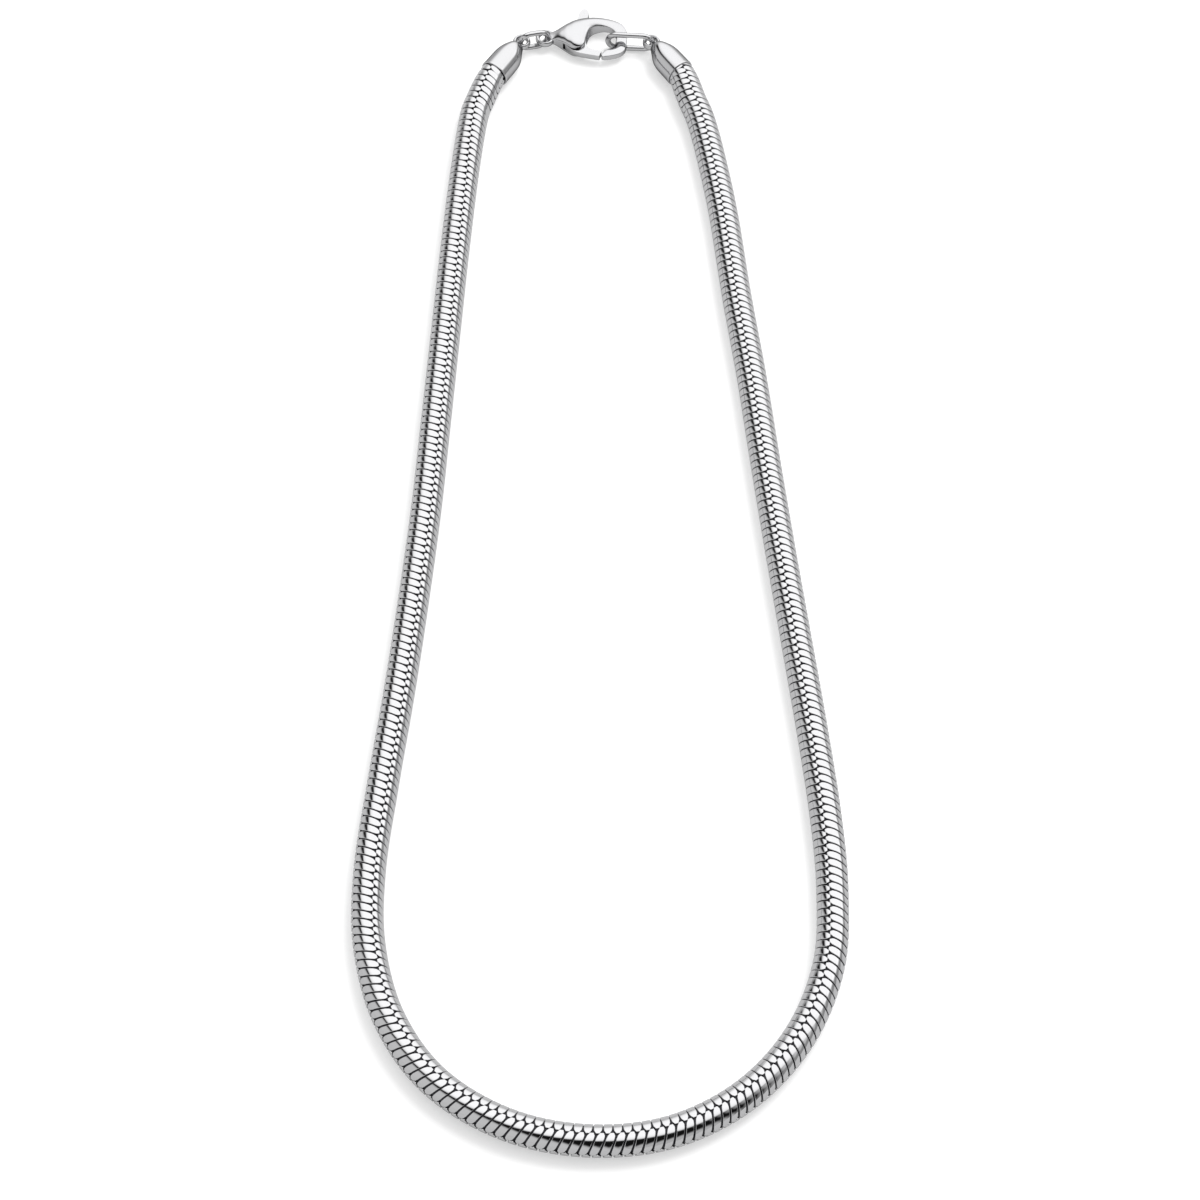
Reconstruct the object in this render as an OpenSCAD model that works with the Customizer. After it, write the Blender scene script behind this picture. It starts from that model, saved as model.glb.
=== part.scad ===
// Snake chain necklace lying flat, closed with a trigger clasp.
// Millimetres. X to the right, Y from the bend towards the clasp, Z up, Z = 0 is the surface it lies on.

/* [Chain] */
// diameter of the round snake chain
chain_d = 4.8; // [4.6:0.1:5]
// how much the pressed end of the chain is thinner inside the cup, each side
chain_press = 0.3; // [0.3:0.05:0.4]

/* [End caps] */
// how far the cup stands out past the chain, each side
cap_lip = 0.1; // [0.05:0.05:0.2]
// gap between the pressed chain end and the cup's bore
cap_gap = 0.12; // [0.1:0.02:0.2]
// length of the round part of the cup
cup_len = 3.4; // [3.2:0.1:3.6]
// width of the tongue's ring
tongue_w = 3; // [2.8:0.1:3.1]
// thickness of the tongue
tongue_t = 1.2; // [1.1:0.1:1.3]
// diameter of the hole in the tongue
tongue_hole = 1.7; // [1.6:0.05:1.8]

/* [Jump links] */
// thickness of the links' wire
link_wire = 0.9; // [0.75:0.05:0.95]
// width of a link between the middles of its two sides
link_w = 3.3; // [3.2:0.05:3.4]
// straight part of the left link
link_left_run = 1.5; // [1.4:0.1:1.7]
// straight part of the right link
link_right_run = 4.2; // [4:0.1:4.4]

/* [Clasp] */
// greatest thickness of the clasp's body
clasp_t = 3.6; // [3.4:0.1:3.6]
// thickness of the clasp's hook
hook_t = 1.4; // [1.2:0.1:1.5]
// thickness of the clasp's eye
eye_t = 1.2; // [1:0.1:1.3]
// hole diameter of the eye
eye_hole = 1.9; // [1.8:0.05:2]
// outside diameter of the eye
eye_d = 3.3; // [3.2:0.05:3.4]
// diameter of the lever's pin
pin_d = 0.8; // [0.7:0.05:0.9]
// clearance all round the pin in the lever's hub
pin_play = 0.05; // [0.03:0.01:0.08]
// thickness of the lever
lever_t = 1.2; // [1:0.05:1.25]
// clearance between the lever and each cheek of the slot
lever_play = 0.1; // [0.08:0.01:0.12]

/* [Hidden] */

chain_r = chain_d / 2;
press_r = chain_r - chain_press;
bore_r = press_r + cap_gap;
cap_r = chain_r + cap_lip;
cap_z = cap_r;
sides = 12;
// rings to each stretch of the route on the legs and round the bend
leg_steps = 2;
bend_steps = 3;
bend_from = 12;
bend_to = 20;

// middles of the cups' rims and the way the cups point
rim_left = [-17.3, 89.2];
rim_right = [13.2, 89.3];
turn_left = 56;
turn_right = 126;
way_left = [cos(turn_left), sin(turn_left)];
way_right = [cos(turn_right), sin(turn_right)];

// depth of the bore, how deep the pressed end sits, and where the full chain stops before the rim
bore_deep = 3.3;
end_deep = 3.1;
stop_gap = 0.15;
stop_len = 0.15;
lead_in = 0.9;

// the chain's route from the left cup round the bend to the right cup, seen from above
CHAIN_ROUTE = [
    [-19.8, 83.3],
    [-20.9, 79.1],
    [-22.2, 67.5],
    [-23.5, 51.5],
    [-24.6, 35.5],
    [-25.7, 19.5],
    [-26.8, 3.7],
    [-28.3, -12.3],
    [-30, -28.1],
    [-32, -44],
    [-33.5, -58],
    [-33.2, -70],
    [-30, -81.5],
    [-23.3, -91.1],
    [-13.2, -97.5],
    [-1.7, -100],
    [10.1, -98.7],
    [20.6, -93.2],
    [28.5, -84.3],
    [33, -73.2],
    [33.9, -61.2],
    [33.3, -49.2],
    [31.8, -35.3],
    [29.8, -19.4],
    [27.8, -3.6],
    [25.9, 12.3],
    [24.1, 28.2],
    [22, 44.1],
    [20.2, 59.9],
    [18.3, 71.8],
    [16.8, 79.1],
    [15.4, 83.3]
];

// heights of the route: the chain lies on the surface and rises to the cups at its ends
route_last = len(CHAIN_ROUTE) - 1;
function route_z(i) = min(i, route_last - i) < 1 ? (chain_r + cap_z) / 2 : chain_r;
LEAD_LEFT = [rim_left[0] - way_left[0] * lead_in, rim_left[1] - way_left[1] * lead_in, cap_z];
LEAD_RIGHT = [rim_right[0] - way_right[0] * lead_in, rim_right[1] - way_right[1] * lead_in, cap_z];
KEYS = concat(
    [LEAD_LEFT],
    [for (i = [0 : route_last]) [CHAIN_ROUTE[i][0], CHAIN_ROUTE[i][1], route_z(i)]],
    [LEAD_RIGHT]
);
key_last = len(KEYS) - 1;

// points along a cup's axis, counted from its rim towards its tip
function along(rim, way, s) = [rim[0] + way[0] * s, rim[1] + way[1] * s, cap_z];

// a smooth curve through four neighbouring points; past the ends it points into the cups
function smooth(a, b, c, d, t) =
    0.5 * (2 * b + (c - a) * t + (2 * a - 5 * b + 4 * c - d) * t * t + (3 * b - a - 3 * c + d) * t * t * t);
function key(i) =
    i < 0 ? along(rim_left, way_left, end_deep)
    : i > key_last ? along(rim_right, way_right, end_deep)
    : KEYS[i];
function few(i) = i >= bend_from && i <= bend_to ? bend_steps : leg_steps;
CURVE = [
    for (i = [0 : key_last - 1])
        for (k = [0 : few(i) - 1])
            smooth(key(i - 1), key(i), key(i + 1), key(i + 2), k / few(i))
];

// every ring's middle and radius, the pressed ends in the cups included
RINGS = concat(
    [
        [along(rim_left, way_left, end_deep), press_r],
        [along(rim_left, way_left, -stop_gap), press_r],
        [along(rim_left, way_left, -stop_gap - stop_len), chain_r]
    ],
    [for (p = CURVE) [p, chain_r]],
    [
        [LEAD_RIGHT, chain_r],
        [along(rim_right, way_right, -stop_gap - stop_len), chain_r],
        [along(rim_right, way_right, -stop_gap), press_r],
        [along(rim_right, way_right, end_deep), press_r]
    ]
);
ring_last = len(RINGS) - 1;

function unit(v) = v / norm(v);
function ring_way(i) = unit(RINGS[min(ring_last, i + 1)][0] - RINGS[max(0, i - 1)][0]);
function ring_side(i) = unit(cross([0, 0, 1], ring_way(i)));
function ring_up(i) = cross(ring_way(i), ring_side(i));
function ring_point(i, k) =
    RINGS[i][0]
    + ring_side(i) * (RINGS[i][1] * cos(360 * k / sides))
    + ring_up(i) * (RINGS[i][1] * sin(360 * k / sides));

// outline of a closed smooth curve through hand-placed points
function loop_at(pts, i) = pts[(i + len(pts)) % len(pts)];
function loop_curve(pts, n) = [
    for (i = [0 : len(pts) - 1])
        for (k = [0 : n - 1])
            smooth(loop_at(pts, i - 1), loop_at(pts, i), loop_at(pts, i + 1), loop_at(pts, i + 2), k / n)
];

// cap: radius of the round shape along its axis, and half its height along the axis
ring_r = tongue_w / 2;
tip_at = 7.6;
CAP_ROUND = [
    [0, cap_r],
    [cup_len, cap_r],
    [4.4, cap_r * 0.95],
    [5.2, cap_r * 0.85],
    [5.8, cap_r * 0.73],
    [6.3, cap_r * 0.62],
    [6.8, cap_r * 0.54],
    [7.1, cap_r * 0.52]
];
CAP_SIDE = [
    [-1, cap_r + 1],
    [cup_len, cap_r + 0.02],
    [4.4, cap_r * 0.92],
    [5.2, cap_r * 0.77],
    [5.9, cap_r * 0.56],
    [6.5, cap_r * 0.38]
];
side_end = 7;
cap_end = tip_at + ring_r + 1;

// clasp
clasp_z = clasp_t / 2;
eye_at = [-9.1, 96.9];
eye_wall = (eye_d - eye_hole) / 2;
pivot = [-3.6, 95.6];
slot_t = lever_t + 2 * lever_play;
CLASP_OUTLINE = [
    [-8.3, 97.5],
    [-7.2, 97.9],
    [-5.9, 98.7],
    [-3.9, 99.8],
    [-1.9, 100.3],
    [0, 100.5],
    [1.9, 100.3],
    [3.6, 99.5],
    [4.5, 97.9],
    [4.5, 96],
    [4.3, 94.4],
    [3.5, 93.4],
    [2.1, 92.9],
    [0.9, 92.7],
    [0.4, 92.8],
    [0.6, 93.4],
    [1.1, 94],
    [1.9, 94.3],
    [2.6, 94.8],
    [2.9, 96],
    [2.9, 97.3],
    [2.2, 98.4],
    [0.9, 98.9],
    [-0.6, 98.8],
    [-1.5, 98.3],
    [-2, 97.4],
    [-2.3, 96.2],
    [-2.6, 94.9],
    [-3.4, 94.2],
    [-4.5, 94.3],
    [-5.4, 94.9],
    [-6.6, 95.7],
    [-7.6, 96.2],
    [-8.3, 96.3]
];
// steps between two points of a flat outline
outline_steps = 3;
// where the side profile starts behind the body, and how far it reaches to the front
profile_back = 110;
profile_reach = 30;
// the patch, seen from above, where the front of the body is levelled to the hook's thickness
level_at = [-1.2, 91];
level_size = [3.6, 4];
// how far the pin's ends sit below the body's two faces
pin_inset = 0.2;
// half the body's thickness from the eye to the hook, as shares of the greatest
clasp_h = clasp_t / 2;
hook_h = hook_t / 2;
neck_h = eye_t / 2;
SIDE_TOP = [
    [-8.8, neck_h],
    [-8, neck_h],
    [-7.4, clasp_h * 0.5],
    [-6.6, clasp_h * 0.78],
    [-5.6, clasp_h * 0.95],
    [-4.4, clasp_h],
    [-3, clasp_h],
    [-1.8, clasp_h * 0.93],
    [-0.6, clasp_h * 0.78],
    [0.8, clasp_h * 0.58],
    [2.2, hook_h * 1.12],
    [3.4, hook_h],
    [5, hook_h]
];
side_last = len(SIDE_TOP) - 1;

// lever
LEVER_OUTLINE = [
    [-5.9, 95.4],
    [-5.2, 94.6],
    [-4.4, 93.9],
    [-3.4, 93.4],
    [-2.2, 93.1],
    [-1, 92.85],
    [-0.1, 92.7],
    [0.1, 93.1],
    [0.3, 93.75],
    [-0.8, 94],
    [-1.8, 94.4],
    [-2.2, 95.2],
    [-2.2, 96.5],
    [-2.1, 98.5],
    [-2.1, 100],
    [-1.9, 101.2],
    [-1.8, 102],
    [-2.2, 102.7],
    [-2.9, 102.6],
    [-3.4, 101.9],
    [-3.6, 100.9],
    [-3.6, 99],
    [-4, 97.5],
    [-4.9, 96.5],
    [-5.7, 96.2]
];
// the slot's room for the lever at rest and pressed
SLOT_BACK = [[-4.6, 95.2], [-8.3, 99.6], [-8.3, 102.5], [-1.5, 102.5], [-1.75, 96.5], [-2, 95]];
SLOT_FRONT = [[-5.9, 96.6], [-6.3, 94.4], [-4.5, 91], [0.5, 91], [-1.4, 94.2], [-1.7, 97], [-3.6, 98]];

// link places: middle, turn seen from above, and slope of the long way
link_left_at = [-11, 96.1, 0.23 + (link_w + link_wire) / 2];
link_left_turn = 19;
link_left_slope = -9;
link_right_at = [5.17, 95.86, 0.09 + (link_w + link_wire) / 2];
link_right_turn = -5;
link_right_slope = 2;

cut = 0.5;
fine = 64;
metal = [0.82, 0.82, 0.84];
metal_dark = [0.7, 0.7, 0.73];

// round chain swept along its route, closed at both pressed ends
module snake_chain() {
    pts = [for (i = [0 : ring_last]) for (k = [0 : sides - 1]) ring_point(i, k)];
    skin = [
        for (i = [0 : ring_last - 1])
            for (k = [0 : sides - 1])
                [i * sides + k, (i + 1) * sides + k, (i + 1) * sides + (k + 1) % sides, i * sides + (k + 1) % sides]
    ];
    first = [for (k = [0 : sides - 1]) k];
    last = [for (k = [0 : sides - 1]) ring_last * sides + sides - 1 - k];
    color(metal_dark)
        polyhedron(points = pts, faces = concat(skin, [first], [last]), convexity = 12);
}

// cup, shoulder and tongue along +X, rim at the origin
module cap_shape() {
    difference() {
        intersection() {
            rotate([0, 90, 0])
                rotate_extrude($fn = fine)
                    union() {
                        polygon(concat(
                            [[0, 0]],
                            [for (p = CAP_ROUND) [p[1], p[0]]],
                            [[CAP_ROUND[len(CAP_ROUND) - 1][1], tip_at], [0, tip_at]]
                        ));
                        translate([0, tip_at])
                            intersection() {
                                circle(r = ring_r, $fn = fine);
                                translate([0, -ring_r])
                                    square([ring_r + cut, 2 * ring_r]);
                            }
                    }
            rotate([90, 0, 0])
                translate([0, 0, -cap_r - cut])
                    linear_extrude(2 * (cap_r + cut))
                        polygon(concat(
                            CAP_SIDE,
                            [[side_end, tongue_t / 2], [cap_end, tongue_t / 2]],
                            [[cap_end, -tongue_t / 2], [side_end, -tongue_t / 2]],
                            [for (i = [len(CAP_SIDE) - 1 : -1 : 0]) [CAP_SIDE[i][0], -CAP_SIDE[i][1]]]
                        ));
        }
        translate([-cut, 0, 0])
            rotate([0, 90, 0])
                cylinder(r = bore_r, h = bore_deep + cut, $fn = fine);
        translate([tip_at, 0, -tongue_t])
            cylinder(d = tongue_hole, h = 2 * tongue_t, $fn = fine);
    }
}

module end_cap_left() {
    color(metal)
        translate([rim_left[0], rim_left[1], cap_z])
            rotate([0, 0, turn_left])
                cap_shape();
}

module end_cap_right() {
    color(metal)
        translate([rim_right[0], rim_right[1], cap_z])
            rotate([0, 0, turn_right])
                cap_shape();
}

// oval wire link standing on its side, long way along X
module link_shape(run) {
    rotate([90, 0, 0])
        union() {
            for (side = [0, 1])
                rotate([0, 0, 180 * side])
                    union() {
                        translate([run / 2, 0, 0])
                            rotate([0, 0, -90])
                                rotate_extrude(angle = 180, $fn = fine)
                                    translate([link_w / 2, 0])
                                        circle(d = link_wire, $fn = fine / 2);
                        translate([-run / 2, link_w / 2, 0])
                            rotate([0, 90, 0])
                                cylinder(d = link_wire, h = run, $fn = fine / 2);
                    }
        }
}

module link_left() {
    color(metal)
        translate(link_left_at)
            rotate([0, -link_left_slope, link_left_turn])
                link_shape(link_left_run);
}

module link_right() {
    color(metal)
        translate(link_right_at)
            rotate([0, -link_right_slope, link_right_turn])
                link_shape(link_right_run);
}

// eye ring with a rounded section
module eye_ring() {
    translate([eye_at[0], eye_at[1], clasp_z])
        rotate_extrude($fn = fine)
            translate([eye_hole / 2 + eye_wall / 2, 0])
                union() {
                    square([eye_wall, eye_t - eye_wall], center = true);
                    translate([0, (eye_t - eye_wall) / 2])
                        circle(d = eye_wall, $fn = fine / 2);
                    translate([0, -(eye_t - eye_wall) / 2])
                        circle(d = eye_wall, $fn = fine / 2);
                }
}

module clasp_body() {
    color(metal)
        union() {
            difference() {
                intersection() {
                    linear_extrude(clasp_t)
                        polygon(loop_curve(CLASP_OUTLINE, outline_steps));
                    translate([0, profile_back, clasp_z])
                        rotate([90, 0, 0])
                            linear_extrude(profile_reach)
                                polygon(concat(
                                    SIDE_TOP,
                                    [for (i = [side_last : -1 : 0]) [SIDE_TOP[i][0], -SIDE_TOP[i][1]]]
                                ));
                }
                translate([0, 0, clasp_z - slot_t / 2])
                    linear_extrude(slot_t)
                        union() {
                            polygon(SLOT_BACK);
                            polygon(SLOT_FRONT);
                        }
                for (side = [-1, 1])
                    translate([level_at[0], level_at[1], clasp_z + side * (hook_h + clasp_h) - clasp_h])
                        cube([level_size[0], level_size[1], clasp_t]);
                translate([eye_at[0], eye_at[1], 0])
                    cylinder(d = eye_hole + eye_wall, h = clasp_t, $fn = fine);
            }
            eye_ring();
            translate([pivot[0], pivot[1], clasp_z - clasp_h + pin_inset])
                cylinder(d = pin_d, h = clasp_t - 2 * pin_inset, $fn = fine);
        }
}

module clasp_lever() {
    color(metal_dark)
        difference() {
            translate([0, 0, clasp_z - lever_t / 2])
                linear_extrude(lever_t)
                    polygon(loop_curve(LEVER_OUTLINE, outline_steps));
            translate([pivot[0], pivot[1], 0])
                cylinder(r = pin_d / 2 + pin_play, h = clasp_t, $fn = fine);
        }
}

snake_chain();
end_cap_left();
end_cap_right();
link_left();
link_right();
clasp_body();
clasp_lever();
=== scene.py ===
import math

import bmesh
import bpy
from mathutils import Matrix, Vector
from mathutils.kdtree import KDTree


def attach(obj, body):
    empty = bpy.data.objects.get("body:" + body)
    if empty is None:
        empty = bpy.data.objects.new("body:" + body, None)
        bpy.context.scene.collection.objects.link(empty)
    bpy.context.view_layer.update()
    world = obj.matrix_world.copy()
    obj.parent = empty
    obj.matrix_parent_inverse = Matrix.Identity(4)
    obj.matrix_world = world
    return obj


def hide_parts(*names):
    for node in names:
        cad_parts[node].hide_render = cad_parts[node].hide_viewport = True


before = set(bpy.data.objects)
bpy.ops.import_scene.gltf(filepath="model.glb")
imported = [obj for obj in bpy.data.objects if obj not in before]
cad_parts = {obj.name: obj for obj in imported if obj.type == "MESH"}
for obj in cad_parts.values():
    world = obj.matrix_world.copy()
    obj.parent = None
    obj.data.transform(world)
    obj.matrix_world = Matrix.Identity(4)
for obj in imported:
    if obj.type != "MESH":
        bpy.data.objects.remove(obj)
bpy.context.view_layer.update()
BASE = "necklace"
LEVER = "lever"
MM = 0.001
SKY_UP = Vector((0, 0, 1))

# Sizes of the part, in millimetres and degrees as in its source, down to the finishes

# the chain and the cups' rims: where each is, which way its cup points, how far before it the route
# starts, and how far past it the chain is seated
CHAIN_R = 2.4
CUP_R = 2.5
RIM_LEFT = (-17.3, 89.2)
RIM_RIGHT = (13.2, 89.3)
TURN_LEFT = 56
TURN_RIGHT = 126
LEAD_IN = 0.9
SEATED = 3
SEAT_END = 3.1
ROUTE = [
    (-19.8, 83.3), (-20.9, 79.1), (-22.2, 67.5), (-23.5, 51.5), (-24.6, 35.5), (-25.7, 19.5),
    (-26.8, 3.7), (-28.3, -12.3), (-30, -28.1), (-32, -44), (-33.5, -58), (-33.2, -70),
    (-30, -81.5), (-23.3, -91.1), (-13.2, -97.5), (-1.7, -100), (10.1, -98.7), (20.6, -93.2),
    (28.5, -84.3), (33, -73.2), (33.9, -61.2), (33.3, -49.2), (31.8, -35.3), (29.8, -19.4),
    (27.8, -3.6), (25.9, 12.3), (24.1, 28.2), (22, 44.1), (20.2, 59.9), (18.3, 71.8),
    (16.8, 79.1), (15.4, 83.3),
]

# how the chain's pattern runs, by share of its length from the left cup to the right one:
# the length of a link
PITCH = [
    (0, 1.16), (0.06, 1.22), (0.35, 1.24), (0.42, 1.32), (0.455, 1.42), (0.5, 1.43), (0.53, 1.37),
    (0.55, 1.28), (0.66, 1.25), (0.94, 1.22), (1, 1.16),
]
# where the upper seam between two rows runs, in degrees from the top towards the inner side
SEAM = [
    (0, -10), (0.03, 2), (0.065, 16), (0.12, 21), (0.3, 25), (0.38, 22), (0.42, 17), (0.455, 12), (0.5, 7),
    (0.53, 4), (0.575, 1), (0.605, 8), (0.64, 16), (0.72, 8), (0.85, 6), (0.93, 4), (1, -8),
]
# the round's size: drawn in at the cups, and a little less at the bend, where flat cells follow a curve
ROUND = [
    (0.008, 0.93), (0.015, 0.997), (0.36, 0.997), (0.44, 0.978), (0.57, 0.978), (0.66, 0.99), (0.72, 0.997),
    (0.985, 0.997), (0.992, 0.93),
]
# how many links a row of cells leans forward across its width, in the outer and the inner rows
DRIFT_OUT = [(0, 0.6), (0.1, 0.8), (0.38, 0.9), (0.46, 1.0), (0.54, 0.9), (0.6, 0.8), (0.68, 1.0), (1, 1.0)]
DRIFT_IN = [(0, 0.7), (0.1, 0.8), (0.38, 0.8), (0.45, 0.1), (0.56, 0.1), (0.64, 0.5), (1, 0.5)]
# how far the cells of one row sit behind those of the next, in links
STEP = [(0, 0.45), (0.4, 0.5), (0.5, 0.45), (0.6, 0.45), (1, 0.45)]

# one cell of the chain: its arc, its thickness and its eased edge, how narrow its ends are and how many
# degrees back that starts, and the share of a link left for the groove
ROWS = 4
ROW_SPAN = 90
CELL_SPAN = 93
CELL_THICK = 0.42
CELL_STEPS = 8
CELL_EASE = 0.07
CELL_TIP = 0.42
CELL_TIP_FROM = 1
CELL_SHOULDER = 0.9
CELL_SHOULDER_FROM = 13
CELL_MIDDLE = 0.98
GROOVE = 0.12
# the links and the core inside them: where they start in the cup, and how far they stay pressed
LINKS_FROM = 1.6
LINKS_PRESSED = 0.86
LINKS_PRESSED_TO = 3.4
CORE_FROM = 0.4
CORE_PRESSED = 0.83
CORE_PRESSED_TO = 3.2
CORE_BELOW = 0.3
CORE_STEPS = 260

# the cup: its bore, and the ring that closes its shoulder
BORE_R = 2.22
BORE_DEEP = 3.3
TONGUE_AT = 7.6
TONGUE_R = 1.16
TONGUE_WIRE = 0.34
TONGUE_WIDE = 1.75
# the cup's rim and then its skin: how far along, half its width and half its height
CUP_RIM = [(-0.42, BORE_R, BORE_R), (-0.48, 2.25, 2.25), (-0.52, 2.34, 2.34)]
CUP_SKIN = [
    (-0.5, 2.44, 2.44), (-0.45, 2.5, 2.5), (-0.1, 2.5, 2.5), (0.1, 2.46, 2.46), (2.6, 2.44, 2.46),
    (3.5, 2.38, 2.44), (4.3, 2.16, 2.4), (5.0, 1.8, 2.3), (5.6, 1.46, 2.1), (6.1, 1.2, 1.8),
    (6.5, 1.0, 1.35), (6.68, 0.85, 0.95),
]

# the oval links: the wire, and how far each ring is drawn out, its middle, its turn and its slope
WIRE_R = 0.45
WIRE_LOOP_R = 1.65
WIRE_STEPS = 64
WIRE_SIDES = 20
LINK_LEFT = dict(run=1.5, place=(-11, 96.1, 2.33), turn=19, slope=-9)
LINK_RIGHT = dict(run=4.2, place=(5.17, 95.86, 2.19), turn=-5, slope=2)

# the clasp: its eye, its pin and the height of its middle
EYE = (-9.1, 96.9)
EYE_R = 1.3
EYE_WIRE = 0.35
EYE_TALL = 1.6
PIVOT = (-3.6, 95.6)
PIN_R = 0.4
PIN_LONG = 3
CLASP_Z = 1.8
CLASP_OUTLINE = [
    (-8.3, 97.5), (-7.2, 97.9), (-5.9, 98.7), (-3.9, 99.8), (-1.9, 100.3), (0, 100.5), (1.9, 100.3),
    (3.6, 99.5), (4.5, 97.9), (4.5, 96), (4.3, 94.4), (3.5, 93.4), (2.1, 92.9), (0.9, 92.7), (0.4, 92.8),
    (0.6, 93.4), (1.1, 94), (1.9, 94.3), (2.6, 94.8), (2.9, 96), (2.9, 97.3), (2.2, 98.4), (0.9, 98.9),
    (-0.6, 98.8), (-1.5, 98.3), (-2, 97.4), (-2.3, 96.2), (-2.6, 94.9), (-3.4, 94.2), (-4.5, 94.3),
    (-5.4, 94.9), (-6.6, 95.7), (-7.6, 96.2), (-8.3, 96.3),
]
# half the clasp's thickness from the eye to the hook
CLASP_HALF = [
    (-8.8, 0.62), (-8, 0.72), (-7.4, 0.96), (-6.6, 1.32), (-5.6, 1.64), (-4.4, 1.8), (-3, 1.8),
    (-1.8, 1.68), (-0.6, 1.42), (0.8, 1.06), (2.2, 0.84), (3.4, 0.76), (5, 0.74),
]
# how far in from its edge the casting goes on rising, and how full its edge is, from the eye to the hook
CLASP_RISE = [(-8, 0.8), (-6, 1.7), (-3.6, 2.6), (-1.6, 2), (0, 1.2), (5, 0.9)]
CLASP_FULL = [(-8, 0.74), (-5, 0.62), (-2, 0.58), (0.5, 0.6), (5, 0.62)]
# the casting is spread a little before its edges are softened, its top is higher and its foot fuller
CLASP_SPREAD = 0.13
CLASP_GRAIN = 0.1
CLASP_TOP = 1.1
CLASP_FOOT = 0.2
SOFT_FACTOR = 0.5
SOFT_PASSES = 42
# past this corner the hook's nose keeps one thickness, blended in over a short way
HOOK_FROM = (-0.4, 95.4)
HOOK_BLEND = 0.6
HOOK_HALF = 0.7
OUTLINE_STEPS = 4
EDGE_STEPS = 10

# the slot for the lever, cut in two parts, and the lever
SLOT = 1.4
SLOT_BACK = [(-4.6, 95.2), (-8.3, 99.6), (-8.3, 102.5), (-1.5, 102.5), (-1.75, 96.5), (-2, 95)]
SLOT_FRONT = [(-5.9, 96.6), (-6.3, 94.4), (-4.5, 91), (0.5, 91), (-1.4, 94.2), (-1.7, 97), (-3.6, 98)]
LEVER_HALF = 0.6
LEVER_EASE = 0.22
HUB_BORE = 0.45
HUB_RIM = 0.1
LEVER_OUTLINE = [
    (-5.9, 95.4), (-5.2, 94.6), (-4.4, 93.9), (-3.4, 93.4), (-2.2, 93.1), (-1, 92.85), (-0.1, 92.7),
    (0.1, 93.1), (0.3, 93.75), (-0.8, 94), (-1.8, 94.4), (-2.2, 95.2), (-2.2, 96.5), (-2.1, 98.5),
    (-2.1, 100), (-1.9, 101.2), (-1.8, 102), (-2.2, 102.7), (-2.9, 102.6), (-3.4, 101.9), (-3.6, 100.9),
    (-3.6, 99), (-4, 97.5), (-4.9, 96.5), (-5.7, 96.2),
]
# two places closer than this count as one
CLOSE = 0.01

# Finishes: wiping marks are fine relief, this deep
MARK_DEEP = 0.01
SHARP_LINK = 80
SHARP_CLASP = 40
# how a link's flat and its eased edges share the shading: 50 is even, less favours the edges
LINK_SHADING = 42

# The studio, in metres: what the camera sees of the floor, and what the metal mirrors of it
FLOOR_SIZE = 6
FLOOR_SEEN = 0.6
FLOOR_MIRRORED = 0.35
GLOW_SEEN = 0.45
GLOW_MIRRORED = 0.3
KEY_AT = (0.45, 0.4, 1.1)
KEY_SIZE = 0.5
KEY_POWER = 8
CAMERA_AT = (0.0001, -0.27794, 0.46192)
CAMERA_TILT = 30
CAMERA_LENS = 104.4
CAMERA_SENSOR = 36
CAMERA_NEAR = 0.01
# each light: where it stands, how it fades with the angle from there, and how bright it is
OVERHEAD = dict(
    towards=(0.22, 0.5, 0.84), level=1.52,
    stops=[(0.51, 0.0), (0.56, 0.05), (0.595, 0.28), (0.63, 0.6), (0.68, 0.82), (0.77, 0.93), (0.87, 1.0)],
)
BEHIND = dict(
    towards=(0.2, 0.7, 0.68), level=1.15,
    stops=[(0.5, 0.0), (0.575, 0.03), (0.62, 0.25), (0.68, 0.58), (0.75, 0.76), (0.82, 0.9), (0.92, 1.0)],
)
RIGHT = dict(towards=(0.7, -0.1, 0.7), level=0.6, stops=[(0.88, 0.0), (0.94, 0.6), (0.98, 1.0)])
# the left and front wall is named by the way opposite to it, where it has faded out
WALLS = dict(
    towards=(0.78, 0.51, 0.37), level=0.78,
    stops=[(-0.46, 1.0), (-0.36, 0.88), (-0.3, 0.5), (-0.25, 0.13), (-0.2, 0.0)],
)
FRONT = dict(
    towards=(0.36, -0.93, 0.0), level=0.6,
    stops=[(0.84, 0.0), (0.89, 0.3), (0.93, 0.9), (0.95, 1.0)],
)
SIDE = dict(towards=(1, 0, 0), level=0.36, stops=[(0.72, 0.0), (0.88, 1.0)])
FAR_LEFT = dict(towards=(-0.6, 0.8, 0.0), level=0.5, stops=[(0.935, 0.0), (0.96, 0.4), (0.985, 1.0)])
# the least light that any direction has
FAINT = 0.008


# Small helpers
def deselect():
    if bpy.context.object and bpy.context.object.mode != "OBJECT":
        bpy.ops.object.mode_set(mode="OBJECT")
    bpy.ops.object.select_all(action="DESELECT")


def work_on(obj):
    deselect()
    obj.select_set(True)
    bpy.context.view_layer.objects.active = obj


def pick(obj, kind, test):
    """In edit mode, selects only the verts or edges whose middle passes the test."""
    bpy.ops.mesh.select_mode(type=kind)
    bpy.ops.mesh.select_all(action="DESELECT")
    bm = bmesh.from_edit_mesh(obj.data)
    for part in (bm.verts if kind == "VERT" else bm.edges):
        middle = part.co if kind == "VERT" else (part.verts[0].co + part.verts[1].co) / 2
        if test(middle):
            part.select_set(True)
    bm.select_flush_mode()
    bmesh.update_edit_mesh(obj.data)


def close_shell():
    """In edit mode, turns every face of the mesh outward."""
    bpy.ops.mesh.select_all(action="SELECT")
    bpy.ops.mesh.normals_make_consistent(inside=False)


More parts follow.
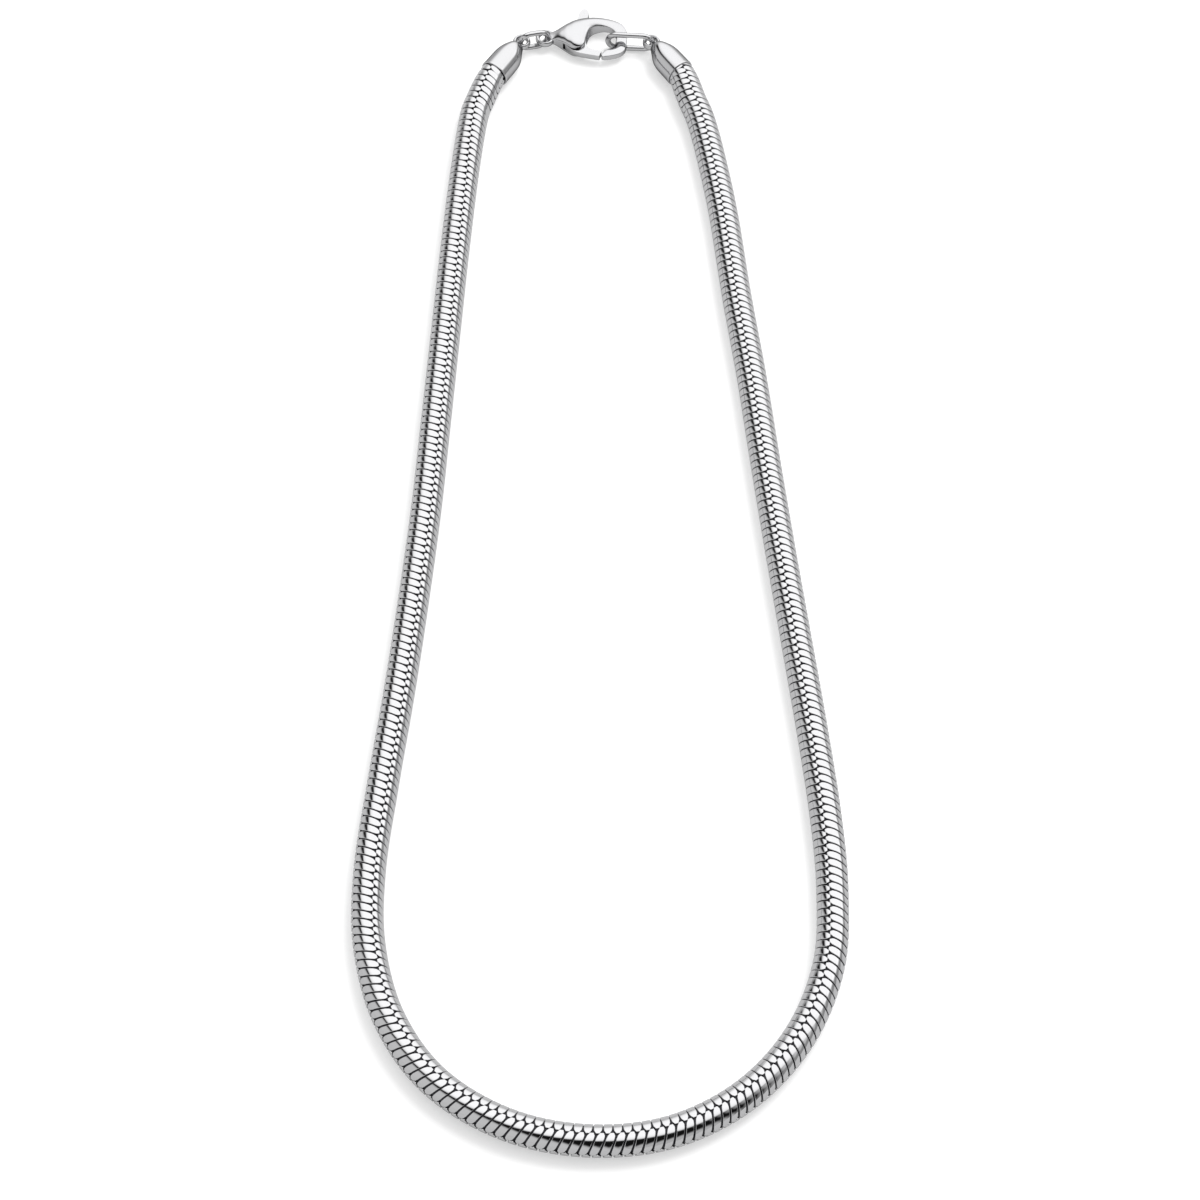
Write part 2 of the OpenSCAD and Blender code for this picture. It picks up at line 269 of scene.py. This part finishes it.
def cut_away(piece, name, cutter):
    """Cuts one solid out of a piece, and drops the cutter."""
    work_on(piece)
    cut = piece.modifiers.new(name, "BOOLEAN")
    cut.operation = "DIFFERENCE"
    cut.solver = "EXACT"
    cut.object = cutter
    bpy.ops.object.modifier_apply(modifier=name)
    bpy.data.objects.remove(cutter)


def turned(degrees, axis):
    return Matrix.Rotation(math.radians(degrees), 4, axis)


def ramp(value, pairs):
    """Straight lines between listed pairs of (place, amount)."""
    if value <= pairs[0][0]:
        return pairs[0][1]
    for (x0, y0), (x1, y1) in zip(pairs, pairs[1:]):
        if value <= x1:
            return y0 + (y1 - y0) * (value - x0) / (x1 - x0)
    return pairs[-1][1]


def smooth(a, b, c, d, t):
    """A smooth curve from b to c that heads on towards d as it came from a."""
    return 0.5 * (2 * b + (c - a) * t + (2 * a - 5 * b + 4 * c - d) * t**2 + (3 * b - a - 3 * c + d) * t**3)


def loop_line(points, steps):
    """A closed smooth line through given points."""
    count = len(points)
    line = []
    for i in range(count):
        four = [Vector(points[(i + k) % count]) for k in (-1, 0, 1, 2)]
        line += [smooth(*four, k / steps) for k in range(steps)]
    return line


# The chain's line
def way_of(turn):
    return Vector((math.cos(math.radians(turn)), math.sin(math.radians(turn)), 0))


def in_cup(rim, turn, along):
    return Vector((rim[0], rim[1], CUP_R)) + way_of(turn) * along


def chain_line(per_stretch=24):
    """Points along the middle of the chain, from inside the left cup to inside the right one."""
    heights = [CHAIN_R] * len(ROUTE)
    heights[0] = heights[-1] = (CHAIN_R + CUP_R) / 2
    keys = [in_cup(RIM_LEFT, TURN_LEFT, -LEAD_IN)]
    keys += [Vector((x, y, z)) for (x, y), z in zip(ROUTE, heights)]
    keys += [in_cup(RIM_RIGHT, TURN_RIGHT, -LEAD_IN)]
    before = in_cup(RIM_LEFT, TURN_LEFT, SEAT_END)
    after = in_cup(RIM_RIGHT, TURN_RIGHT, SEAT_END)
    full = [before] + keys + [after]
    line = [in_cup(RIM_LEFT, TURN_LEFT, SEATED - a) for a in range(SEATED + 1)]
    for i in range(1, len(full) - 2):
        line += [smooth(*full[i - 1:i + 3], k / per_stretch) for k in range(per_stretch)]
    line.append(keys[-1])
    line += [in_cup(RIM_RIGHT, TURN_RIGHT, a) for a in range(SEATED + 1)]
    return line


LINE = chain_line()
STATIONS = [0.0]
for p, q in zip(LINE, LINE[1:]):
    STATIONS.append(STATIONS[-1] + (q - p).length)
LENGTH = STATIONS[-1]


def at(s, reach=2):
    """Point and direction of the chain's middle line, s millimetres from its left end."""
    lo, hi = 0, len(STATIONS) - 1
    while hi - lo > 1:
        mid = (lo + hi) // 2
        if STATIONS[mid] <= s:
            lo = mid
        else:
            hi = mid
    t = (s - STATIONS[lo]) / (STATIONS[hi] - STATIONS[lo])
    point = LINE[lo].lerp(LINE[hi], t)
    a, b = max(0, lo - reach), min(len(LINE) - 1, hi + reach)
    return point, (LINE[b] - LINE[a]).normalized()


# The chain
def chain_cell():
    """One curved plate of a link, a quarter of the way round: rounded ends and eased edges."""
    deselect()
    bpy.ops.mesh.primitive_plane_add(size=1)
    cell = bpy.context.object
    cell.name = "chain_cell"
    bpy.ops.object.mode_set(mode="EDIT")
    bpy.ops.mesh.select_all(action="SELECT")
    bpy.ops.transform.resize(value=(1 - GROOVE, CELL_THICK, 1), center_override=(0, 0, 0))
    bpy.ops.transform.rotate(value=math.radians(90), orient_axis="X", center_override=(0, 0, 0))
    bpy.ops.transform.translate(value=(0, 0, CHAIN_R - CELL_THICK / 2))
    bpy.ops.transform.rotate(value=math.radians(CELL_SPAN / 2), orient_axis="X", center_override=(0, 0, 0))
    # the spin goes back over the top, from whichever side the turn put the section on
    start = bmesh.from_edit_mesh(cell.data).verts[:][0].co.y
    turn = -CELL_SPAN if start > 0 else CELL_SPAN
    bpy.ops.mesh.spin(steps=CELL_STEPS, angle=math.radians(turn), center=(0, 0, 0), axis=(1, 0, 0))
    bpy.ops.mesh.select_all(action="SELECT")
    bpy.ops.mesh.remove_doubles(threshold=0.001)
    # the two ends are drawn in, so that neighbouring rows of cells meet like teeth
    tip = math.radians(CELL_SPAN / 2 - CELL_TIP_FROM)
    shoulder = math.radians(CELL_SPAN / 2 - CELL_SHOULDER_FROM)
    pick(cell, "VERT", lambda c: tip > abs(math.atan2(c.y, c.z)) > shoulder)
    bpy.ops.transform.resize(value=(CELL_SHOULDER, 1, 1), center_override=(0, 0, 0))
    pick(cell, "VERT", lambda c: abs(math.atan2(c.y, c.z)) > tip)
    bpy.ops.transform.resize(value=(CELL_TIP, 1, 1), center_override=(0, 0, 0))
    # the outer rim is eased all the way round, but not the edges that cross the plate
    middle_y = CHAIN_R * math.sin(math.radians(CELL_SPAN / 2)) * CELL_MIDDLE
    bpy.ops.mesh.select_mode(type="EDGE")
    bpy.ops.mesh.select_all(action="DESELECT")
    bm = bmesh.from_edit_mesh(cell.data)
    for edge in bm.edges:
        a, b = edge.verts[0].co, edge.verts[1].co
        outer = all(math.hypot(c.y, c.z) > CHAIN_R - CLOSE for c in (a, b))
        crossing = abs(a.x + b.x) < CLOSE and abs(a.y) < middle_y
        if outer and not crossing:
            edge.select_set(True)
    bmesh.update_edit_mesh(cell.data)
    bpy.ops.mesh.bevel(offset=CELL_EASE, offset_type="OFFSET", segments=1, affect="EDGES")
    close_shell()
    bpy.ops.object.mode_set(mode="OBJECT")
    return cell


def link_cells(cell, s, pitch):
    """The four cells of the link that sits s millimetres along the chain, each with its own mesh."""
    share = s / LENGTH
    middle, way = at(s)
    side = SKY_UP.cross(way).normalized()
    up = way.cross(side)
    step = ramp(share, STEP)
    lean_out = ramp(share, DRIFT_OUT)
    lean_in = ramp(share, DRIFT_IN)
    drifts = (lean_out, lean_in, lean_out, lean_in)
    joined = (lean_out + lean_in) / 2 - step
    aheads = (0, joined, 2 * joined, -joined)
    pressed = min(s, LENGTH - s) < LINKS_PRESSED_TO
    small = LINKS_PRESSED if pressed else ramp(share, ROUND)
    chord = 2 * CHAIN_R * math.sin(math.radians(ROW_SPAN / 2))
    cells = []
    for row in range(ROWS):
        angle = math.radians(ramp(share, SEAM) - ROW_SPAN / 2 + ROW_SPAN * row)
        out = up * math.cos(angle) + side * math.sin(angle)
        along_ring = side * math.cos(angle) - up * math.sin(angle)
        lean = drifts[row] * pitch / chord
        place = middle + way * aheads[row] * pitch
        columns = (way * pitch, (along_ring + way * lean) * small, out * small, place)
        mesh = cell.data.copy()
        mesh.transform(Matrix([[c[i] for c in columns] for i in range(3)] + [[0, 0, 0, 1]]))
        copy = bpy.data.objects.new("cell_copy", mesh)
        bpy.context.scene.collection.objects.link(copy)
        cells.append(copy)
    return cells


def build_links():
    """All the links of the chain in one piece."""
    cell = chain_cell()
    cells = []
    s = LINKS_FROM
    while s < LENGTH - LINKS_FROM:
        pitch = ramp(s / LENGTH, PITCH)
        cells += link_cells(cell, s, pitch)
        s += pitch
    bpy.data.objects.remove(cell)
    deselect()
    for copy in cells:
        copy.select_set(True)
    links = cells[0]
    bpy.context.view_layer.objects.active = links
    bpy.ops.object.join()
    links.name = links.data.name = "chain_links"
    work_on(links)
    bpy.ops.object.shade_smooth_by_angle(angle=math.radians(SHARP_LINK))
    # the shading is evened while the mesh is still in millimetres, where the areas aren't too small
    even = links.modifiers.new("even_shading", "WEIGHTED_NORMAL")
    even.weight = LINK_SHADING
    bpy.ops.object.modifier_apply(modifier="even_shading")
    links.data.transform(Matrix.Scale(MM, 4))
    links.data.materials.clear()
    links.data.materials.append(polished_links)
    return links


def build_core():
    """The links' turned-in inner edges as a near-black tube: painted shade, seen only as the dark floor of
    the grooves.
    """
    path = bpy.data.curves.new("chain_core", "CURVE")
    path.dimensions = "3D"
    path.bevel_depth = (CHAIN_R - CORE_BELOW) * MM
    path.bevel_resolution = 3
    path.use_fill_caps = True
    run = path.splines.new("POLY")
    run.points.add(CORE_STEPS)
    for i, knot in enumerate(run.points):
        s = CORE_FROM + (LENGTH - 2 * CORE_FROM) * i / CORE_STEPS
        middle, _ = at(s)
        knot.co = (*(middle * MM), 1)
        knot.radius = CORE_PRESSED if min(s, LENGTH - s) < CORE_PRESSED_TO else 1
    core = bpy.data.objects.new("chain_core", path)
    bpy.context.scene.collection.objects.link(core)
    work_on(core)
    bpy.ops.object.convert(target="MESH")
    core = bpy.context.object
    bpy.ops.object.mode_set(mode="EDIT")
    bpy.ops.mesh.select_all(action="SELECT")
    bpy.ops.mesh.remove_doubles(threshold=0.000001)
    close_shell()
    bpy.ops.object.mode_set(mode="OBJECT")
    bpy.ops.object.shade_smooth()
    core.data.materials.append(painted_groove_shade)
    return core


def build_chain():
    links = build_links()
    core = build_core()
    for piece in (links, core):
        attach(piece, BASE)
    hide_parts("snake_chain")


# The finishes
def noise(nodes, scale, detail):
    texture = nodes.new("ShaderNodeTexNoise")
    texture.inputs["Scale"].default_value = scale
    texture.inputs["Detail"].default_value = detail
    return texture


def polish_marks():
    """Wiping marks and faint unevenness of polished metal, shared by every metal here."""
    group = bpy.data.node_groups.new("polish_marks", "ShaderNodeTree")
    group.interface.new_socket("Vector", in_out="INPUT", socket_type="NodeSocketVector")
    group.interface.new_socket("Smooth", in_out="INPUT", socket_type="NodeSocketFloat")
    group.interface.new_socket("Worn", in_out="INPUT", socket_type="NodeSocketFloat")
    group.interface.new_socket("Roughness", in_out="OUTPUT", socket_type="NodeSocketFloat")
    group.interface.new_socket("Height", in_out="OUTPUT", socket_type="NodeSocketFloat")
    nodes, links = group.nodes, group.links
    given = nodes.new("NodeGroupInput")
    result = nodes.new("NodeGroupOutput")
    clouds = noise(nodes, scale=380, detail=3)
    hairs = noise(nodes, scale=2600, detail=2)
    mixed = nodes.new("ShaderNodeMath")
    mixed.operation = "MULTIPLY"
    spread = nodes.new("ShaderNodeMapRange")
    spread.inputs["From Min"].default_value = 0.1
    spread.inputs["From Max"].default_value = 0.45
    links.new(given.outputs["Vector"], clouds.inputs["Vector"])
    links.new(given.outputs["Vector"], hairs.inputs["Vector"])
    links.new(clouds.outputs["Fac"], mixed.inputs[0])
    links.new(hairs.outputs["Fac"], mixed.inputs[1])
    links.new(mixed.outputs["Value"], spread.inputs["Value"])
    links.new(given.outputs["Smooth"], spread.inputs["To Min"])
    links.new(given.outputs["Worn"], spread.inputs["To Max"])
    links.new(spread.outputs["Result"], result.inputs["Roughness"])
    links.new(clouds.outputs["Fac"], result.inputs["Height"])
    return group


MARKS = polish_marks()


def metal(name, colour, clean, worn, waves, edge):
    """A metal with wiping marks, from clean to worn; edge under 1 darkens it where it is seen aslant."""
    mat = bpy.data.materials.new(name)
    mat.use_nodes = True
    nodes, links = mat.node_tree.nodes, mat.node_tree.links
    shader = nodes["Principled BSDF"]
    shader.inputs["Metallic"].default_value = 1
    shader.inputs["Base Color"].default_value = (*colour, 1)
    shader.inputs["Specular Tint"].default_value = (edge, edge, edge, 1)
    place = nodes.new("ShaderNodeTexCoord")
    marks = nodes.new("ShaderNodeGroup")
    marks.node_tree = MARKS
    marks.inputs["Smooth"].default_value = clean
    marks.inputs["Worn"].default_value = worn
    relief = nodes.new("ShaderNodeBump")
    relief.inputs["Strength"].default_value = waves
    relief.inputs["Distance"].default_value = MARK_DEEP * MM
    links.new(place.outputs["Object"], marks.inputs["Vector"])
    links.new(marks.outputs["Roughness"], shader.inputs["Roughness"])
    links.new(marks.outputs["Height"], relief.inputs["Height"])
    links.new(relief.outputs["Normal"], shader.inputs["Normal"])
    return mat


polished = metal("polished_silver", (0.6, 0.6, 0.61), clean=0.07, worn=0.16, waves=0.5, edge=0.22)
polished_links = metal("polished_links", (0.63, 0.63, 0.64), clean=0.04, worn=0.1, waves=0.7, edge=1)
# near-black metal for the core: painted shade at the floor of the grooves
painted_groove_shade = metal("painted_groove_shade", (0.04, 0.04, 0.045), clean=0.35, worn=0.5, waves=0.5, edge=1)


# The fittings
def finish_fitting(piece, node, body=BASE):
    piece.data.materials.clear()
    piece.data.materials.append(polished)
    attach(piece, body)
    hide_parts(node)
    return piece


def end_cup(name, rim, turn):
    """A drawn cup with a turned rim, pinched to a flat shoulder that carries a ring."""
    deselect()
    bpy.ops.mesh.primitive_circle_add(vertices=40, radius=BORE_R, location=(0, 0, BORE_DEEP))
    cup = bpy.context.object
    cup.name = cup.data.name = name + "_cup"
    bpy.ops.object.transform_apply(location=True)
    bpy.ops.object.mode_set(mode="EDIT")
    bpy.ops.mesh.select_mode(type="EDGE")
    bpy.ops.mesh.select_all(action="SELECT")
    # the bore's end ring is drawn out to the rim, round it and along the skin
    now = (BORE_DEEP, BORE_R, BORE_R)
    for ring in CUP_RIM + CUP_SKIN:
        bpy.ops.mesh.extrude_region_move(TRANSFORM_OT_translate={"value": (0, 0, ring[0] - now[0])})
        size = (ring[1] / now[1], ring[2] / now[2], 1)
        bpy.ops.transform.resize(value=size, center_override=(0, 0, ring[0]))
        now = ring
    bpy.ops.mesh.edge_face_add()
    pick(cup, "EDGE", lambda c: abs(c.z - BORE_DEEP) < CLOSE)
    bpy.ops.mesh.edge_face_add()
    close_shell()
    bpy.ops.mesh.select_all(action="DESELECT")
    bpy.ops.mesh.primitive_torus_add(major_radius=TONGUE_R, minor_radius=TONGUE_WIRE, major_segments=32,
                                     minor_segments=12, location=(0, 0, TONGUE_AT),
                                     rotation=(math.radians(90), 0, 0))
    bpy.ops.transform.resize(value=(1, TONGUE_WIDE, 1), center_override=(0, 0, TONGUE_AT))
    bpy.ops.object.mode_set(mode="OBJECT")
    fine = cup.modifiers.new("round_skin", "SUBSURF")
    fine.levels = fine.render_levels = 2
    bpy.ops.object.modifier_apply(modifier="round_skin")
    # the cup's own axis turns from Z to the chain's direction, its flat shoulder level
    lay = turned(turn, "Z") @ turned(90, "Y") @ turned(90, "Z")
    cup.data.transform(Matrix.Scale(MM, 4) @ Matrix.Translation((*rim, CUP_R)) @ lay)
    bpy.ops.object.shade_smooth()
    return finish_fitting(cup, name)


def oval_link(name, run, place, turn, slope):
    """A round wire ring drawn out to an oval, standing on its side."""
    deselect()
    bpy.ops.mesh.primitive_torus_add(major_radius=WIRE_LOOP_R, minor_radius=WIRE_R,
                                     major_segments=WIRE_STEPS, minor_segments=WIRE_SIDES)
    link = bpy.context.object
    link.name = link.data.name = name + "_wire"
    bpy.ops.object.mode_set(mode="EDIT")
    bpy.ops.mesh.select_all(action="SELECT")
    # half a step round, so that no ring of points lies on the line where the two halves part
    half_step = math.radians(180 / WIRE_STEPS)
    bpy.ops.transform.rotate(value=half_step, orient_axis="Z", center_override=(0, 0, 0))
    for side in (-1, 1):
        pick(link, "VERT", lambda c: c.x * side > 0)
        bpy.ops.transform.translate(value=(side * run / 2, 0, 0))
    bpy.ops.object.mode_set(mode="OBJECT")
    stand = turned(90, "X")
    lean = turned(-slope, "Y")
    swing = turned(turn, "Z")
    link.data.transform(Matrix.Scale(MM, 4) @ Matrix.Translation(place) @ swing @ lean @ stand)
    bpy.ops.object.shade_smooth()
    return finish_fitting(link, name)


def flat_plate(name, line, low, high):
    """A plate cut to a line seen from above, between two heights."""
    deselect()
    bpy.ops.mesh.primitive_circle_add(vertices=len(line), radius=1, fill_type="NGON")
    plate = bpy.context.object
    plate.name = plate.data.name = name
    for corner, place in zip(plate.data.vertices, line):
        corner.co = (place[0], place[1], low)
    bpy.ops.object.mode_set(mode="EDIT")
    bpy.ops.mesh.select_all(action="SELECT")
    bpy.ops.mesh.extrude_region_move(TRANSFORM_OT_translate={"value": (0, 0, high - low)})
    close_shell()
    bpy.ops.object.mode_set(mode="OBJECT")
    return plate


def clasp_swell(place, edge):
    """Half the casting's thickness at a place, and the share of it that its soft edge leaves."""
    half = ramp(place.x, CLASP_HALF)
    past_y = min(1, max(0, (HOOK_FROM[1] - place.y) / HOOK_BLEND))
    past_x = min(1, max(0, (place.x - HOOK_FROM[0]) / HOOK_BLEND))
    half += (HOOK_HALF - half) * past_y * past_x
    _, _, reach = edge.find((place.x, place.y, 0))
    inward = min(1, reach / ramp(place.x, CLASP_RISE))
    full = ramp(place.x, CLASP_FULL)
    if place.z < CLASP_Z:
        full = min(1, full + CLASP_FOOT)
    else:
        half *= CLASP_TOP
    return half, full + (1 - full) * math.sqrt(1 - (1 - inward)**2)


def clasp_casting():
    """The clasp's body: a soft casting thinning to the hook, with a slot for the lever, eye and pin."""
    body = flat_plate("clasp_casting", loop_line(CLASP_OUTLINE, OUTLINE_STEPS), 0, 2 * CLASP_Z)
    work_on(body)
    bpy.ops.object.mode_set(mode="EDIT")
    bpy.ops.mesh.select_all(action="SELECT")
    bpy.ops.transform.shrink_fatten(value=CLASP_SPREAD)
    bpy.ops.object.mode_set(mode="OBJECT")
    fair = body.modifiers.new("even_skin", "REMESH")
    fair.mode = "VOXEL"
    fair.voxel_size = CLASP_GRAIN
    bpy.ops.object.modifier_apply(modifier="even_skin")
    edge = KDTree(len(CLASP_OUTLINE) * EDGE_STEPS)
    for i, knot in enumerate(loop_line(CLASP_OUTLINE, EDGE_STEPS)):
        edge.insert((*knot, 0), i)
    edge.balance()
    for corner in body.data.vertices:
        half, share = clasp_swell(corner.co, edge)
        corner.co.z = CLASP_Z + (corner.co.z - CLASP_Z) * half * share / (CLASP_Z + CLASP_SPREAD)
    ease = body.modifiers.new("soft_edges", "SMOOTH")
    ease.factor = SOFT_FACTOR
    ease.iterations = SOFT_PASSES
    bpy.ops.object.modifier_apply(modifier="soft_edges")
    for line in (SLOT_BACK, SLOT_FRONT):
        corners = [Vector(q) for q in line]
        cutter = flat_plate("slot_cutter", corners, CLASP_Z - SLOT / 2, CLASP_Z + SLOT / 2)
        cut_away(body, "slot", cutter)
    bpy.ops.object.mode_set(mode="EDIT")
    bpy.ops.mesh.select_all(action="DESELECT")
    bpy.ops.mesh.primitive_torus_add(major_radius=EYE_R, minor_radius=EYE_WIRE, major_segments=WIRE_STEPS,
                                     minor_segments=WIRE_SIDES, location=(*EYE, CLASP_Z))
    bpy.ops.transform.resize(value=(1, 1, EYE_TALL), center_override=(*EYE, CLASP_Z))
    bpy.ops.mesh.select_all(action="DESELECT")
    bpy.ops.mesh.primitive_cylinder_add(vertices=32, radius=PIN_R, depth=PIN_LONG, location=(*PIVOT, CLASP_Z))
    bpy.ops.object.mode_set(mode="OBJECT")
    body.data.transform(Matrix.Scale(MM, 4))
    bpy.ops.object.shade_smooth_by_angle(angle=math.radians(SHARP_CLASP))
    return finish_fitting(body, "clasp_body")


def clasp_gate():
    """The lever: gate arm, hub and thumb tab in one plate with well eased edges."""
    outline = loop_line(LEVER_OUTLINE, OUTLINE_STEPS)
    gate = flat_plate("clasp_gate", outline, CLASP_Z - LEVER_HALF, CLASP_Z + LEVER_HALF)
    deselect()
    bpy.ops.mesh.primitive_cylinder_add(vertices=40, radius=HUB_BORE, depth=PIN_LONG,
                                        location=(*PIVOT, CLASP_Z))
    cut_away(gate, "hub_hole", bpy.context.object)
    bpy.ops.object.mode_set(mode="EDIT")

    def outer_rim(middle):
        on_face = abs(abs(middle.z - CLASP_Z) - LEVER_HALF) < CLOSE
        from_pin = math.hypot(middle.x - PIVOT[0], middle.y - PIVOT[1])
        return on_face and from_pin > HUB_BORE + HUB_RIM

    pick(gate, "EDGE", outer_rim)
    bpy.ops.mesh.bevel(offset=LEVER_EASE, offset_type="OFFSET", segments=4, affect="EDGES",
                       clamp_overlap=True)
    bpy.ops.object.mode_set(mode="OBJECT")
    gate.data.transform(Matrix.Scale(MM, 4))
    bpy.ops.object.shade_smooth_by_angle(angle=math.radians(SHARP_CLASP))
    return finish_fitting(gate, "clasp_lever", LEVER)


build_chain()
end_cup("end_cap_left", RIM_LEFT, TURN_LEFT)
end_cup("end_cap_right", RIM_RIGHT, TURN_RIGHT)
oval_link("link_left", **LINK_LEFT)
oval_link("link_right", **LINK_RIGHT)
clasp_casting()
clasp_gate()


# The studio: floor, light and camera
def by_mirror(nodes, links, ray, seen, mirrored):
    """One value where the camera sees the floor itself, another where the metal mirrors it."""
    chosen = nodes.new("ShaderNodeMapRange")
    chosen.inputs["To Min"].default_value = seen
    chosen.inputs["To Max"].default_value = mirrored
    links.new(ray.outputs["Is Glossy Ray"], chosen.inputs["Value"])
    return chosen.outputs["Result"]


def white_floor():
    paper = bpy.data.materials.new("white_floor")
    paper.use_nodes = True
    nodes, links = paper.node_tree.nodes, paper.node_tree.links
    nodes.remove(nodes["Principled BSDF"])
    lit = nodes.new("ShaderNodeBsdfDiffuse")
    glow = nodes.new("ShaderNodeEmission")
    both = nodes.new("ShaderNodeAddShader")
    ray = nodes.new("ShaderNodeLightPath")
    links.new(by_mirror(nodes, links, ray, FLOOR_SEEN, FLOOR_MIRRORED), lit.inputs["Color"])
    links.new(by_mirror(nodes, links, ray, GLOW_SEEN, GLOW_MIRRORED), glow.inputs["Strength"])
    links.new(lit.outputs[0], both.inputs[0])
    links.new(glow.outputs[0], both.inputs[1])
    links.new(both.outputs[0], nodes["Material Output"].inputs["Surface"])
    return paper


deselect()
bpy.ops.mesh.primitive_plane_add(size=FLOOR_SIZE)
floor = bpy.context.object
floor.name = "floor"
floor.data.materials.append(white_floor())

world = bpy.data.worlds.new("studio")
bpy.context.scene.world = world
world.use_nodes = True
wn, wl = world.node_tree.nodes, world.node_tree.links
sky = wn["Background"]
spot = wn.new("ShaderNodeTexCoord")


def light(towards, level, stops):
    """Brightness that fades with the angle from a direction, by listed stops of (cosine, share)."""
    agree = wn.new("ShaderNodeVectorMath")
    agree.operation = "DOT_PRODUCT"
    wl.new(spot.outputs["Generated"], agree.inputs[0])
    agree.inputs[1].default_value = towards
    shift = wn.new("ShaderNodeMapRange")
    shift.inputs["From Min"].default_value = -1
    wl.new(agree.outputs["Value"], shift.inputs["Value"])
    fade = wn.new("ShaderNodeValToRGB")
    wl.new(shift.outputs["Result"], fade.inputs["Fac"])
    bar = fade.color_ramp.elements
    while len(bar) < len(stops):
        bar.new(0.5)
    for stop, (cosine, share) in zip(bar, stops):
        stop.position = (cosine + 1) / 2
        stop.color = (share, share, share, 1)
    scaled = wn.new("ShaderNodeMath")
    scaled.operation = "MULTIPLY"
    wl.new(fade.outputs["Color"], scaled.inputs[0])
    scaled.inputs[1].default_value = level
    return scaled.outputs[0]


def joined_light(operation, a, b):
    """Two lights added together, or the brighter of the two."""
    step = wn.new("ShaderNodeMath")
    step.operation = operation
    wl.new(a, step.inputs[0])
    wl.new(b, step.inputs[1])
    return step.outputs[0]


# a soft panel overhead, a duller one behind and a small one to the right
upper = joined_light("MAXIMUM", light(**OVERHEAD), light(**BEHIND))
panels = joined_light("MAXIMUM", upper, light(**RIGHT))
# past a dark gap round them, grey walls: left and front, front right, right, and far left
near_walls = joined_light("MAXIMUM", light(**WALLS), light(**FRONT))
far_walls = joined_light("MAXIMUM", light(**SIDE), light(**FAR_LEFT))
all_round = joined_light("ADD", panels, joined_light("ADD", near_walls, far_walls))
lifted = wn.new("ShaderNodeMath")
lifted.inputs[1].default_value = FAINT
wl.new(all_round, lifted.inputs[0])
wl.new(lifted.outputs[0], sky.inputs["Strength"])
sky.inputs["Color"].default_value = (1, 1, 1, 1)

bpy.ops.object.light_add(type="AREA", location=KEY_AT)
key = bpy.context.object
key.name = "key_light"
key.data.shape = "SQUARE"
key.data.size = KEY_SIZE
key.data.energy = KEY_POWER
key.visible_glossy = False
key.rotation_euler = (Vector((0, 0, 0)) - key.location).to_track_quat("-Z", "Y").to_euler()

bpy.ops.object.camera_add(location=CAMERA_AT, rotation=(math.radians(CAMERA_TILT), 0, 0))
camera = bpy.context.object
camera.data.lens = CAMERA_LENS
camera.data.sensor_width = CAMERA_SENSOR
camera.data.clip_start = CAMERA_NEAR
bpy.context.scene.camera = camera
bpy.context.scene.view_settings.view_transform = "Standard"
